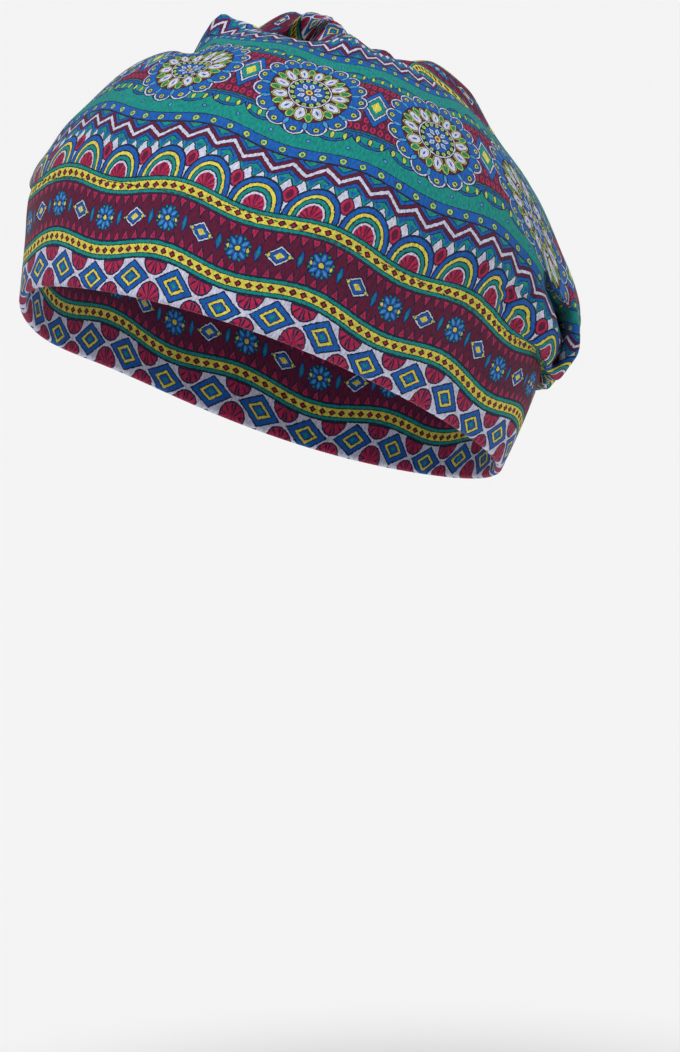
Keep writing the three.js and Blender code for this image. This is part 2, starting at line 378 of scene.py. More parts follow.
def clear_of_hem(run, height, slack, out):
    """Keeps cloth that hangs beside the hem outside it, whatever the gathers and tucks ask for."""
    limits = HEM_CLEARANCE
    above = run - HEM_DEPTH
    beside = smoothstep(above, 0, limits["start"]) * smoothstep(slack, 0, limits["slack"])
    beside = beside * (1 - smoothstep(height - HEM_DEPTH, limits["low"], limits["high"]))
    room = limits["out"] * slack * smoothstep(above, limits["start"] / 2, limits["full"])
    return np.maximum(out, room * beside - limits["free"] * (1 - beside))


print("the hem dips", round(float(temple_drop(0, TEMPLE_DIP["turn"])), 1), "mm over the right temple")

# %% [markdown]
# ## A point on the cloth
#
# All of the above adds up in one function, from a run and a turn to a point. The bag comes first, then
# what moves it out, round, up and down, with faint drapes and with the pleats of the drawn-in end, and
# last the lean. A stack of Displace modifiers could do much of this. But a function can also be asked
# for the hem fold, the inner layer and the seam line, so all of them fit each other.

# %% A point on the cloth
DRAPE = dict(depth=0.5, start=45, full=75)
DRAPE_WAVES = dict(count=4, per_mm=0.11, cross_count=5, cross_per_mm=0.06)
TOP_PLEATS = dict(count=12, slow_count=7, depth=1.6, start=140, full=178)


def drape_out(run, turn):
    """How far the faint drapes above the gathers stand out."""
    along = np.sin(DRAPE_WAVES["per_mm"] * run + DRAPE_WAVES["count"] * turn)
    across = np.sin(DRAPE_WAVES["cross_count"] * uneven(turn) + DRAPE_WAVES["cross_per_mm"] * run)
    return DRAPE["depth"] * smoothstep(run, DRAPE["start"], DRAPE["full"]) * along * across


def cloth_points(run, turn):
    """Points on the outside of the cloth, in metres, for arrays of runs in mm and turns."""
    section = {name: curve(run) for name, curve in section_at.items()}
    out_x, out_y = np.sin(turn), -np.cos(turn)
    to_brow = section["middle"] - section["front"]
    to_nape = section["back"] - section["middle"]
    fullness = np.where(out_y < 0, fullness_at["front"](run), fullness_at["back"](run))
    fuller = 1 + fullness * np.sin(2 * turn) ** 2
    x = section["half_width"] * out_x * fuller
    y = section["middle"] + np.where(out_y < 0, to_brow, to_nape) * out_y * fuller

    degrees = np.degrees(np.arctan2(np.sin(turn), np.cos(turn)))
    slack = np.clip(slack_at(degrees), 0, 1)
    height = section["rise"] - sag_at["drop"](run) * slack
    out = sag_at["out"](run) * slack + gather_out(run, turn, degrees) + drape_out(run, turn)
    out = clear_of_hem(run, height, slack, out + tuck_move("out", run, degrees))
    slide = tuck_move("slide", run, degrees)
    x, y = x + out * out_x - slide * out_y, y + out * out_y + slide * out_x

    pleated = smoothstep(run, TOP_PLEATS["start"], TOP_PLEATS["full"])
    closing = smoothstep(run, TOP_PLEATS["full"], CLOTH_LENGTH)
    z = height + fold_move("lift", x, y) - tuck_move("drop", run, degrees)
    z = z + pleated * (1 - closing) * waves(TOP_PLEATS, turn) - temple_drop(run, degrees)
    push = fold_move("push", x, y)
    x, y = x + push * BACK_RIGHT[0], y + push * BACK_RIGHT[1]

    leaned_y = y * math.cos(HEM_TILT) + z * math.sin(HEM_TILT)
    leaned_z = z * math.cos(HEM_TILT) - y * math.sin(HEM_TILT)
    return np.stack([x, leaned_y, leaned_z], axis=-1) * MM


brow_fold = cloth_points(np.zeros(1), np.zeros(1))[0] / MM
print("hem fold at the brow:", brow_fold.round(1), "mm")

# %% [markdown]
# ## Spacing the cut
#
# The real cap starts as a flat piece of jersey. So does this one: a flat grid whose width goes round
# the cap and whose length goes up the cloth. An even grid would need many more faces for the smallest
# creases, which lie at the left of the nape. So the columns are closer there, and further apart
# everywhere else.

# %% Spacing the cut
COLUMNS = 340
CLOSE_COLUMNS = dict(middle=math.radians(122), spread=math.radians(20), share=1.6)
SPACING_STEPS = 4000
HEM_ROUND = 0.570


def closer_spacing(end, count, close):
    """Places from nought to an end, set closer together near one place."""
    fine = np.linspace(0, end, SPACING_STEPS)
    density = 1 + close["share"] * bell(fine - close["middle"], close["spread"])
    passed = np.concatenate([[0], np.cumsum((density[1:] + density[:-1]) / 2)])
    return np.interp(np.linspace(0, passed[-1], count), passed, fine)


seam_to_seam = closer_spacing(2 * math.pi, COLUMNS + 1, CLOSE_COLUMNS)
turns = seam_to_seam[:-1]
column_widths = np.diff(seam_to_seam) / (2 * math.pi) * HEM_ROUND / MM
print("columns from", column_widths.min().round(2), "to", column_widths.max().round(2), "mm wide")

# %% [markdown]
# ## Sewing the tube
#
# The flat measure of the grid becomes the UV map, in metres, so that the print keeps its size on the
# cloth. It is evened a little, because knit stretches over a fold. Then each point moves to its place
# on the bag, and the two side edges are sewn by merging them. A Solidify modifier gives the cloth its
# thickness. A tube made by spinning a profile would be quicker, but it couldn't carry the folds.

# %% Sewing the tube
EVEN_COLUMNS = 20
HALF_GRID = 0.5
SEAM_REACH = 0.02 * MM
CLOTH_WALL = 1.0 * MM


def even_round(values):
    """Values averaged with their neighbours round the cap."""
    steps = np.arange(-2 * EVEN_COLUMNS, 2 * EVEN_COLUMNS + 1)
    weights = bell(steps, EVEN_COLUMNS)
    moved = [weight * np.roll(values, step, axis=1) for weight, step in zip(weights, steps)]
    return np.sum(moved, axis=0) / weights.sum()


def smooth_object(name, bm):
    """A smooth-shaded object with the shape of a bmesh, which is then freed."""
    for face in bm.faces:
        face.smooth = True
    mesh = bpy.data.meshes.new(name)
    bm.to_mesh(mesh)
    bm.free()
    return add_object(name, mesh)


def cloth_from_rows(name, rows):
    """A cloth through rows of points, with a UV map in metres and a thickness away from its face."""
    rows = np.stack(rows)
    lengths = np.linalg.norm(np.diff(rows, axis=0), axis=2)
    heights = even_round(np.concatenate([np.zeros((1, COLUMNS)), np.cumsum(lengths, axis=0)]))

    bm = bmesh.new()
    cut = bmesh.ops.create_grid(bm, x_segments=COLUMNS, y_segments=len(rows) - 1, size=HALF_GRID)
    uv_layer = bm.loops.layers.uv.new("ClothMetres")
    for vert in cut["verts"]:
        column = round((vert.co.x + HALF_GRID) * COLUMNS)
        row = round((vert.co.y + HALF_GRID) * (len(rows) - 1))
        round_share = seam_to_seam[column] / (2 * math.pi)
        vert.co = rows[row, column % COLUMNS]
        for loop in vert.link_loops:
            loop[uv_layer].uv = (round_share * HEM_ROUND, heights[row, column % COLUMNS])
    bmesh.ops.remove_doubles(bm, verts=bm.verts, dist=SEAM_REACH)
    cloth = smooth_object(name, bm)

    thickness = cloth.modifiers.new("thickness", "SOLIDIFY")
    thickness.thickness = CLOTH_WALL
    thickness.offset = -1
    thickness.use_even_offset = False
    thickness.material_offset = 1
    return cloth


print("the cloth is", CLOTH_WALL / MM, "mm thick")

# %% [markdown]
# ## The crown
#
# The crown is one cloth from the lowest line of the hem fold up to the drawn-in end. Its rows are
# levels of the bag, closer at the height of the pocket, with three more round the fold and one point
# at the end. The fold could be a bevel of a sharp edge, but the turned hem has to meet it, so both
# follow the same half circle.

# %% Crown
CROWN_ROWS = 124
CLOSE_ROWS = dict(middle=56, spread=13, share=1.5)
FOLD_RADIUS = 1.25
FOLD_ROWS = 3


def inward_way(up_way, ring):
    """Ways square to the cloth, from its outside to its inside, along one or more rings of points."""
    round_way = np.roll(ring, -1, axis=-2) - np.roll(ring, 1, axis=-2)
    inward = np.cross(up_way, round_way)
    return inward / np.linalg.norm(inward, axis=-1, keepdims=True)


def hem_fold(rows, angle):
    """The lowest row carried on round the hem fold: none at the outside, half a circle to the inside."""
    up_way = rows[1] - rows[0]
    inward = inward_way(up_way, rows[0])
    down = -up_way / np.linalg.norm(up_way, axis=1, keepdims=True)
    return rows[0] + (inward * (1 - math.cos(angle)) + down * math.sin(angle)) * FOLD_RADIUS * MM


crown_runs = closer_spacing(CLOTH_LENGTH, CROWN_ROWS, CLOSE_ROWS)
crown_rows = [cloth_points(np.full(COLUMNS, run), turns) for run in crown_runs]
fold_angles = np.linspace(math.pi / 2, 0, FOLD_ROWS, endpoint=False)
crown_fold = [hem_fold(crown_rows, angle) for angle in fold_angles]
top_point = np.repeat(crown_rows[-1].mean(axis=0, keepdims=True), COLUMNS, axis=0)
crown = cloth_from_rows("crown_cloth", [*crown_fold, *crown_rows, top_point])
print("crown cloth:", len(crown.data.polygons), "faces")

# %% [markdown]
# ## The turned-up hem
#
# Below the stitches the cloth is double: it turns round the hem fold and goes back up inside. It could
# be one mesh with the crown, but the solids have it as a piece of its own, so it is one here. It is
# made in the same way, from the lowest line of the fold nearly up to the stitches, set in by the
# thickness of both layers. Its printed side faces inwards, so its faces are turned over.

# %% Turned hem
FACING_ROWS = 24
FACING_DEPTH = 2 * FOLD_RADIUS
FACING_RUN = HEM_DEPTH - 1.5


def facing_rows():
    """Rows of the inner layer, from the end of the hem fold to its cut edge."""
    runs = np.linspace(0, FACING_RUN, FACING_ROWS)
    outside = np.stack([cloth_points(np.full(COLUMNS, run), turns) for run in runs])
    return list(outside + inward_way(np.gradient(outside, axis=0), outside) * FACING_DEPTH * MM)


inner_angles = np.linspace(math.pi / 2, math.pi, FOLD_ROWS, endpoint=False)
inner_fold = [hem_fold(crown_rows, angle) for angle in inner_angles]
turned_hem = cloth_from_rows("turned_hem", [*inner_fold, *facing_rows()])
turned_hem.data.flip_normals()
print("turned hem:", len(turned_hem.data.polygons), "faces")

# %% [markdown]
# ## The row of stitches
#
# One row of straight stitches in dark thread holds the turned hem. A curve with a bevel would make one
# long cord, but real stitches dip into the cloth, so each is a short bar of its own: a small sphere of
# few faces, stretched along the seam and set half into the cloth. The same row shows inside.

# %% Stitches
STITCH_COUNT = 190
STITCH_LENGTH = 2.4
THREAD_RADIUS = 0.2
THREAD_SIDES, THREAD_RINGS = 8, 5
THREAD_PROUD = 0.3
CAP_AXIS_Y = 20 * MM


def stitch_bar():
    """One stitch: a round bar of unit size, as a mesh."""
    bm = bmesh.new()
    bmesh.ops.create_uvsphere(bm, u_segments=THREAD_SIDES, v_segments=THREAD_RINGS, radius=MM)
    bar = bpy.data.meshes.new("stitch bar")
    bm.to_mesh(bar)
    bm.free()
    return bar


def away_from_axis(point):
    """Outwards from the middle line of the cap."""
    return Vector((point.x, point.y - CAP_AXIS_Y, 0)).normalized()


def stitch_lie(ring, place, side):
    """How one stitch lies at a place along a ring of points: along the seam, a little proud of it."""
    count, first = len(ring), int(place)
    middle = ring[first % count].lerp(ring[(first + 1) % count], place % 1)
    along = (ring[(first + 2) % count] - ring[(first - 1) % count]).normalized()
    outward = away_from_axis(middle) * side
    outward = (outward - along * outward.dot(along)).normalized()
    turn = Matrix((along, outward.cross(along), outward)).transposed().to_4x4()
    size = Matrix.Diagonal((STITCH_LENGTH / 2, THREAD_RADIUS, THREAD_RADIUS, 1))
    return Matrix.Translation(middle + outward * THREAD_RADIUS * THREAD_PROUD * MM) @ turn @ size


def add_stitches(bm, ring, side):
    """A row of stitches along a closed ring of points, on the outer side (1) or the inner (-1)."""
    bar = stitch_bar()
    for stitch in range(STITCH_COUNT):
        lie = stitch_lie(ring, stitch / STITCH_COUNT * len(ring), side)
        bar.transform(lie)
        bm.from_mesh(bar)
        bar.transform(lie.inverted())
    bpy.data.meshes.remove(bar)


def seam_ring(depth):
    """The seam line, set in from the outside of the cloth."""
    seam_turns = np.linspace(0, 2 * math.pi, 2 * STITCH_COUNT, endpoint=False)
    below, seam, above = (
        cloth_points(np.full(len(seam_turns), STITCH_RUN + step), seam_turns) for step in (-1, 0, 1)
    )
    return [Vector(point) for point in seam + inward_way(above - below, seam) * depth * MM]


seam_bars = bmesh.new()
add_stitches(seam_bars, seam_ring(0), side=1)
add_stitches(seam_bars, seam_ring(FACING_DEPTH), side=-1)
stitches = smooth_object("hem_stitches", seam_bars)
print("stitches:", STITCH_COUNT, "on each face,", len(stitches.data.polygons), "faces")

# %% [markdown]
# ## Sums as nodes
#
# The print is drawn by shader nodes, so that it stays sharp at any size and needs no picture. Placing
# hundreds of Math nodes by hand is slow to read. So a field is a small wrapper round a node's output:
# adding or multiplying two fields makes the Math node and links it. The chart below then reads like
# the sums that it is.

# %% Fields
chart = bpy.data.node_groups.new("cloth print", "ShaderNodeTree")


class Field:
    """A number or colour that changes over the cloth: the output of a node in the chart."""

    def __init__(self, socket):
        self.socket = socket

    def __add__(self, other):
        return reckon("ADD", self, other)

    def __sub__(self, other):
        return reckon("SUBTRACT", self, other)

    def __rsub__(self, other):
        return reckon("SUBTRACT", other, self)

    def __mul__(self, other):
        return reckon("MULTIPLY", self, other)

    def __gt__(self, other):
        return reckon("GREATER_THAN", self, other)

    def __abs__(self):
        return reckon("ABSOLUTE", self)


def feed(node_input, value):
    """Links a field to a node's input, or sets a plain value there."""
    if isinstance(value, Field):
        chart.links.new(value.socket, node_input)
    else:
        node_input.default_value = value


def reckon(operation, *terms):
    """One Math node."""
    node = chart.nodes.new("ShaderNodeMath")
    node.operation = operation
    for node_input, term in zip(node.inputs, terms):
        feed(node_input, term)
    return Field(node.outputs[0])


print("the chart is a group of nodes:", chart.name)

# %% [markdown]
# ## Shapes
#
# The motifs are made of diamonds, round spots and pointed leaves. Meshes laid on the cloth would do
# for a few of them, but not for hundreds that bend with every fold. So a shape is a depth: how far a
# place lies inside the shape's edge, in millimetres, from two measures, across the shape and along it.
# Repeats are folds of the plane, which make one shape stand for a row or a ring of them.

# %% Shapes
def length(across, along):
    """Distance from the origin of two fields."""
    return reckon("SQRT", reckon("MULTIPLY_ADD", across, across, along * along))


def lesser(first, second):
    """The smaller of two fields: the overlap of two depths."""
    return reckon("MINIMUM", first, second)


def greater(first, second):
    """The larger of two fields: two depths joined."""
    return reckon("MAXIMUM", first, second)


def from_nearest(field, pitch, start=0.0):
    """Distance from the nearest of a row of places, a pitch apart."""
    shifted = field - start if start else field
    return reckon("PINGPONG", shifted, pitch / 2)


def wedge(radius, angle, count, start=0.0):
    """Folds a plane round its middle into equal wedges: how far to the side and out within one."""
    within = from_nearest(angle, 2 * math.pi / count, start)
    return radius * reckon("SINE", within), radius * reckon("COSINE", within)


def lozenge(across, along, half_width, half_height):
    """Depth inside a diamond."""
    slant = half_width * half_height / math.hypot(half_width, half_height)
    sides = reckon("MULTIPLY_ADD", abs(across), -1 / half_width, 1) - abs(along) * (1 / half_height)
    return sides * slant


def disc(across, along, radius):
    """Depth inside a round spot."""
    return radius - length(across, along)


def leaf(across, along, half_width, half_length):
    """Depth inside a pointed leaf, the overlap of two discs."""
    radius = (half_length**2 + half_width**2) / (2 * half_width)
    return radius - length(abs(across) + (radius - half_width), along)


shapes = (lozenge, disc, leaf)
print("shapes of the print:", [shape.__name__ for shape in shapes])

# %% [markdown]
# ## Inks
#
# A printer mixes a few inks and prints every motif from them, outline and fill. One Mix node for each
# outline would do it. But inks that change with depth make nested outlines at once, like the layers of
# a printed leaf, so a ColorRamp with constant steps holds all the inks of a motif.

# %% Inks
def ink(code):
    """A dye from its screen colour, as the linear colour that shaders use."""
    channels = [int(code[i:i + 2], 16) / 255 for i in (0, 2, 4)]
    return (*Color(channels).from_srgb_to_scene_linear(), 1)


LAVENDER = ink("d0d0e6")
BLUE = ink("1a5db0")
SKY = ink("4a9ad0")
NAVY = ink("1e2542")
YELLOW = ink("dfd255")
LIME = ink("bccd55")
GREEN = ink("2a8558")
TEAL = ink("148c84")
WINE = ink("621c3a")
CRIMSON = ink("b62650")
BROWN = ink("45221f")
RAMP_SHARE, RAMP_MARGIN = 1.05, 0.01

# A Mix node has sockets for each kind of data. These are the places of the colour ones.
MIX_UNDER, MIX_OVER, MIX_RESULT = 6, 7, 2


def stepped(depth, inks):
    """The ink at a depth: each pair of (from this depth, ink) holds up to the next."""
    reach = inks[-1][0] * RAMP_SHARE + RAMP_MARGIN
    node = chart.nodes.new("ShaderNodeValToRGB")
    ramp = node.color_ramp
    ramp.interpolation = "CONSTANT"
    while len(ramp.elements) < len(inks):
        ramp.elements.new(1)
    for element, (start, colour) in zip(ramp.elements, inks):
        element.position = start / reach
        element.color = colour
    feed(node.inputs[0], depth * (1 / reach))
    return Field(node.outputs[0])


def paint(ground, where, colour):
    """Lays a colour over the ground wherever a field is one."""
    node = chart.nodes.new("ShaderNodeMix")
    node.data_type = "RGBA"
    feed(node.inputs[0], where)
    feed(node.inputs[MIX_UNDER], ground)
    feed(node.inputs[MIX_OVER], colour)
    return Field(node.outputs[MIX_RESULT])


def print_motif(ground, depth, inks):
    """Prints a motif: outlines and fill by depth."""
    return paint(ground, depth > 0, stepped(depth, inks))


print("navy as a linear colour:", [round(channel, 3) for channel in NAVY[:3]])

# %% [markdown]
# ## Where the print lies
#
# The print repeats ten times round the cap. Up the cloth it runs from the hem to a row of rosettes on
# the crown, and then back again in mirror image. A second set of motifs could carry it on, but one
# PINGPONG node folds the whole length of the cloth into one stretch. The bands sway a little up and
# down. Ink on a knit has no ruled edge, so a fine noise lets every place wander by a fraction of a
# millimetre.

# %% Where the print lies
REPEATS = 10
REPEAT = HEM_ROUND / MM / REPEATS
BAND_SWAY = 2.0
ROSETTE_HEIGHT = 100
INK_SPREAD, INK_WANDER = 1.1, 0.6
NOISE_MIDDLE = 0.5

cloth_map = chart.nodes.new("ShaderNodeUVMap")
cloth_map.uv_map = "ClothMetres"


def split_fields(socket):
    """The first two channels of a vector or colour, as fields."""
    split = chart.nodes.new("ShaderNodeSeparateXYZ")
    chart.links.new(socket, split.inputs[0])
    return Field(split.outputs[0]), Field(split.outputs[1])


def yarn_noise(across, along, detail):
    """Uneven yarn, in patches of a size across and along the cloth in millimetres."""
    stretch = chart.nodes.new("ShaderNodeMapping")
    stretch.inputs["Scale"].default_value = (1 / (across * MM), 1 / (along * MM), 1)
    noise = chart.nodes.new("ShaderNodeTexNoise")
    noise.noise_dimensions = "2D"
    noise.inputs["Scale"].default_value = 1
    noise.inputs["Detail"].default_value = detail
    chart.links.new(cloth_map.outputs[0], stretch.inputs["Vector"])
    chart.links.new(stretch.outputs[0], noise.inputs["Vector"])
    return noise


cloth_round, cloth_up = split_fields(cloth_map.outputs[0])
wander_round, wander_up = split_fields(yarn_noise(INK_SPREAD, INK_SPREAD, detail=1).outputs["Color"])
round_mm = cloth_round * (1 / MM) + (wander_round - NOISE_MIDDLE) * INK_WANDER
cloth_up_mm = cloth_up * (1 / MM) + (wander_up - NOISE_MIDDLE) * INK_WANDER
sway = reckon("COSINE", round_mm * (2 * math.pi / REPEAT)) * BAND_SWAY
up_mm = from_nearest(cloth_up_mm + sway, 2 * ROSETTE_HEIGHT)
print("one repeat is", round(REPEAT, 1), "mm wide")

# %% [markdown]
# ## The bands round the brow
#
# The print is a generic one of bands and rosettes, in the colours of the cap. The grounds of the bands
# and their straight edges change with height alone. Each could be painted by itself, but a single ramp
# holds them all.

# %% Bands
LOW_RIBBON, HIGH_RIBBON = 13.4, 37.4
WINE_FOOT, ARCADE_FOOT = 20.6, 44.6
ZIGZAG_FOOT, BLUE_FOOT, TEAL_FOOT, PETAL_FOOT = 59.6, 68.6, 73.0, 86.0
EDGE_LINE = 0.6


def ribbon(foot):
    """Heights and inks of a yellow ribbon between teal edges."""
    steps = [(0, NAVY), (0.6, TEAL), (1.6, NAVY), (2.1, YELLOW), (5.1, NAVY), (5.6, TEAL), (6.6, NAVY)]
    return [(foot + height, colour) for height, colour in steps]


band_grounds = [(0, LAVENDER), *ribbon(LOW_RIBBON), (WINE_FOOT, WINE)]
band_grounds += [*ribbon(HIGH_RIBBON), (ARCADE_FOOT, LAVENDER)]
for foot, colour in ((ZIGZAG_FOOT, WINE), (BLUE_FOOT, BLUE), (TEAL_FOOT, TEAL), (PETAL_FOOT, WINE)):
    band_grounds += [(foot - EDGE_LINE, NAVY), (foot, colour)]
print_ink = stepped(up_mm, band_grounds)
print("steps of ground up the cloth:", len(band_grounds))

# %% [markdown]
# ## Motifs of the lower bands
#
# A screen printer would cut one stencil for each ink. Here each motif is laid over the last with all
# its inks at once, from the hem up: nested lozenges along the edge, ribbons with small studs, and a
# wine band with sawtooth borders and a row of flowers.

# %% Motifs of the lower bands
BORDER_MIDDLE = LOW_RIBBON / 2
RIBBON_MIDDLE = 3.6
WINE_MIDDLE = (WINE_FOOT + HIGH_RIBBON) / 2
BUD_FLATNESS, BUD_RIM = 0.9, 0.7
FAN_BACK = 1
FLOWER_LEAVES, FLOWER_PETALS, FLOWER_EYE = 3.3, 2.9, 1.3


def fan(side, height, count, least):
    """More than nought on stripes that fan out from just behind an edge."""
    return reckon("SINE", reckon("ARCTAN2", side, height + FAN_BACK) * count) - least


def hem_border(ground):
    """Nested lozenges along the hem, with striped half discs between them."""
    pitch = REPEAT / 3
    height = up_mm - BORDER_MIDDLE
    side = from_nearest(round_mm, pitch, pitch / 2)
    edge = BORDER_MIDDLE - abs(height)
    buds = lesser(disc(side, edge * BUD_FLATNESS, radius=5), LOW_RIBBON - up_mm)
    ground = print_motif(ground, buds, [(0, NAVY), (0.55, CRIMSON)])
    ground = paint(ground, lesser(buds - BUD_RIM, fan(side, edge, count=12, least=0.6)) > 0, NAVY)
    diamonds = lozenge(from_nearest(round_mm, pitch), height, half_width=8.4, half_height=6.5)
    inks = [(0, NAVY), (0.5, BLUE), (2.0, NAVY), (2.35, YELLOW), (3.2, NAVY), (3.55, BLUE), (4.4, TEAL)]
    return print_motif(ground, diamonds, inks)


def ribbon_studs(ground):
    """Small lozenge studs along both yellow ribbons."""
    low = abs(up_mm - (LOW_RIBBON + RIBBON_MIDDLE))
    high = abs(up_mm - (HIGH_RIBBON + RIBBON_MIDDLE))
    place = from_nearest(round_mm, REPEAT / 15)
    studs = lozenge(place, lesser(low, high), half_width=1.5, half_height=1.35)
    return print_motif(ground, studs, [(0, BROWN), (0.6, CRIMSON)])


def sawtooth(ground):
    """Nested triangles along both edges of the wine band."""
    apex, slope, rise_limit = 3.9, 2.4, 4.6
    rise = abs(up_mm - WINE_MIDDLE) - apex
    teeth = (rise - from_nearest(round_mm, REPEAT / 14) * slope) * (1 / math.hypot(1, slope))
    teeth = lesser(teeth, rise_limit - rise)
    return print_motif(ground, teeth, [(0, NAVY), (0.45, CRIMSON), (1.1, NAVY)])


def flower_row(ground):
    """Blue flowers, pale lozenges, upright leaves and seeds along the middle of the wine band."""
    height = up_mm - WINE_MIDDLE
    across = from_nearest(round_mm, REPEAT / 2)
    radius = length(across, height)
    angle = reckon("ARCTAN2", across, height)
    side, out = wedge(radius, angle, 8, math.pi / 8)
    leaves = leaf(side, out - FLOWER_LEAVES, half_width=0.95, half_length=1.9)
    ground = print_motif(ground, leaves, [(0, NAVY), (0.3, TEAL)])
    side, out = wedge(radius, angle, 8)
    petals = leaf(side, out - FLOWER_PETALS, half_width=1.35, half_length=2.3)
    ground = print_motif(ground, petals, [(0, NAVY), (0.35, BLUE), (0.85, SKY)])
    ground = print_motif(ground, FLOWER_EYE - radius, [(0, NAVY), (0.4, YELLOW)])
    pale = lozenge(from_nearest(round_mm, REPEAT / 2, REPEAT / 4), height, half_width=5.6, half_height=4.2)
    inks = [(0, NAVY), (0.45, LAVENDER), (0.9, NAVY), (1.25, BLUE), (2.3, YELLOW)]
    ground = print_motif(ground, pale, inks)
    bars = leaf(from_nearest(round_mm, REPEAT / 4, REPEAT / 8), height, half_width=1.2, half_length=3.6)
    ground = print_motif(ground, bars, [(0, NAVY), (0.35, BLUE), (0.8, TEAL)])
    seeds = lozenge(from_nearest(round_mm, REPEAT / 8, REPEAT / 16), height, half_width=0.9, half_height=1.4)
    return print_motif(ground, seeds, [(0, NAVY), (0.25, YELLOW)])


for motif in (hem_border, ribbon_studs, sawtooth, flower_row):
    print_ink = motif(print_ink)
print("lower bands:", len(chart.nodes), "nodes so far")

# %% [markdown]
# ## Motifs of the upper bands
#
# Above the second ribbon come rows of arches, a zigzag, a line of rings and a scalloped teal band.
# Half discs that are cut off by a straight edge make the arches, and overlapping discs the scallops.
# Both could be shapes of their own, but a disc and an edge already give them.

# %% Motifs of the upper bands
ARCH_RADIUS, ARCH_FLATNESS, ARCH_FRAME = 9.4, 0.72, 5.7
GAP_HEIGHT = 8.4
ZIGZAG_SLOPE = 0.75
SCALLOP_FLATNESS = 1.1
SEED_HEIGHT, DOT_HEIGHT = 82, 77


def arcade(ground):
    """Nested arches over striped fans, with a drop in each gap and a fringe above."""
    pitch = REPEAT / 3
    side = from_nearest(round_mm, pitch)
    height = up_mm - ARCADE_FOOT
    to_fringe = up_mm - ZIGZAG_FOOT
    fringe = lozenge(from_nearest(round_mm, REPEAT / 12), to_fringe, half_width=2.37, half_height=4.6)
    ground = print_motif(ground, fringe, [(0, NAVY), (0.4, TEAL), (1.0, BLUE)])
    gap = from_nearest(round_mm, pitch, pitch / 2)
    drops = leaf(gap, height - GAP_HEIGHT, half_width=2.6, half_length=4)
    ground = print_motif(ground, drops, [(0, NAVY), (0.5, CRIMSON), (1.4, WINE)])
    arch = disc(side, height * ARCH_FLATNESS, ARCH_RADIUS)
    inks = [(0, NAVY), (0.6, BLUE), (1.9, NAVY), (2.3, YELLOW), (3.2, NAVY), (3.6, TEAL), (4.6, NAVY)]
    inks += [(5.0, LAVENDER), (5.6, CRIMSON)]
    ground = paint(ground, lesser(arch, height) > 0, stepped(arch, inks))
    stripes = fan(side, height, count=15, least=0.45)
    return paint(ground, lesser(lesser(arch - ARCH_FRAME, height), stripes) > 0, WINE)


def zigzag(ground):
    """Striped zigzags on wine."""
    middle = (ZIGZAG_FOOT + BLUE_FOOT - EDGE_LINE) / 2
    half_height = BLUE_FOOT - EDGE_LINE - middle
    peaks = from_nearest(round_mm, REPEAT / 5) - REPEAT / 20
    height = up_mm - middle
    inks = [(0, LAVENDER), (0.7, NAVY), (1.1, WINE), (2.3, NAVY), (2.7, BLUE), (3.9, NAVY), (4.3, TEAL)]
    stripes = stepped(abs(height - peaks * ZIGZAG_SLOPE), inks)
    return paint(ground, half_height - abs(height) > 0, stripes)


def teal_band(ground):
    """Rings on a blue line, and a teal band with scallops, seeds and dots."""
    ring_height = (BLUE_FOOT + TEAL_FOOT - EDGE_LINE) / 2
    ring = disc(from_nearest(round_mm, REPEAT / 8), up_mm - ring_height, radius=1.5)
    ground = print_motif(ground, ring, [(0, NAVY), (0.35, LIME), (0.9, TEAL)])
    scallop = disc(from_nearest(round_mm, REPEAT / 4), (up_mm - PETAL_FOOT) * SCALLOP_FLATNESS, radius=8)
    scallop = lesser(scallop, PETAL_FOOT - EDGE_LINE - up_mm)
    ground = print_motif(ground, scallop, [(0, NAVY), (0.5, BLUE), (1.3, NAVY), (1.7, TEAL)])
    seeds = leaf(from_nearest(round_mm, REPEAT / 12), up_mm - SEED_HEIGHT, half_width=1.05, half_length=1.9)
    ground = print_motif(ground, seeds, [(0, NAVY), (0.35, LIME)])
    dots = disc(from_nearest(round_mm, REPEAT / 4, REPEAT / 8), up_mm - DOT_HEIGHT, radius=0.9)
    return print_motif(ground, dots, [(0, NAVY), (0.3, SKY)])


for motif in (arcade, zigzag, teal_band):
    print_ink = motif(print_ink)
print("upper bands:", len(chart.nodes), "nodes so far")

# %% [markdown]
# ## The rosettes
#
# On the crown the print opens into large rosettes, on a ground of crimson petals. Each petal could be
# placed by itself, but a fold of the plane into equal wedges makes one stand for all of them, so a
# rosette is drawn ring by ring, from its rim to its middle. The cloth is drawn in a little there, so
# the side measure is reduced to keep the rosettes round.

# %% Rosettes
ROSETTE_SCALE = 0.86
DRAWN_IN = 0.88
PETAL_LENGTH = 4
ROSETTE_RIM, RIM_EYES, RIM_RAYS = 20.8, 22.0, 19.6
WINE_RING, LEAF_RING, PETAL_RING = 17.6, 14.9, 12.6
NAVY_RING, STUD_RING, STAR_RING, ROSETTE_EYE = 9.6, 7.5, 3.9, 1.9


def petal_ground(ground):
    """Rows of crimson petals, and a nested lozenge between the rosettes."""
    rows = from_nearest(up_mm, PETAL_LENGTH, PETAL_FOOT + PETAL_LENGTH / 2)
    petals = leaf(from_nearest(round_mm, REPEAT / 18), rows, half_width=1.5, half_length=PETAL_LENGTH / 2)
    petals = lesser(petals, up_mm - PETAL_FOOT)
    ground = print_motif(ground, petals, [(0, NAVY), (0.3, CRIMSON), (1.05, WINE)])
    side = from_nearest(round_mm, REPEAT, REPEAT / 2)
    diamonds = lozenge(side, up_mm - ROSETTE_HEIGHT, half_width=8.5, half_height=11)
    inks = [(0, NAVY), (0.5, BLUE), (1.8, NAVY), (2.2, LAVENDER), (2.8, NAVY), (3.1, TEAL), (4.8, YELLOW)]
    return print_motif(ground, diamonds, inks)


